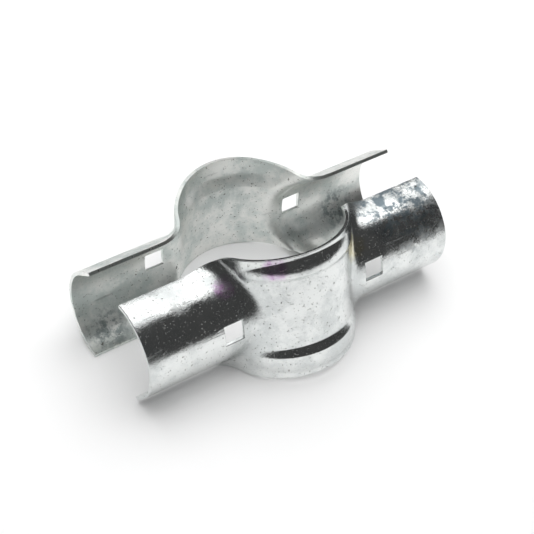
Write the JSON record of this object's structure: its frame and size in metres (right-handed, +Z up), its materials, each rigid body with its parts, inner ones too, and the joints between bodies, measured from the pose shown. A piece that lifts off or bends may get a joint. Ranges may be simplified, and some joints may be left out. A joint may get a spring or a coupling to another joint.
{
  "type": "tube clamp tee fitting",
  "caption": "Pair of pressed steel clamp halves that bolt together round a post and a crossing rail, lying loose.",
  "frame": {"origin": "middle of the pair on the surface it lies on", "axes": "+X along the rail seats, +Y away from the front half, +Z up"},
  "size_m": [0.156, 0.0933, 0.0598],
  "materials": {
    "rear_half": "bright zinc plated, soft matt inside",
    "front_half": "bright zinc plated, with a mottled grain and fine scratches"
  },
  "bodies": {
    "root": {"rear_half": "rear_half", "front_half": "front_half"}
  },
  "joints": []
}
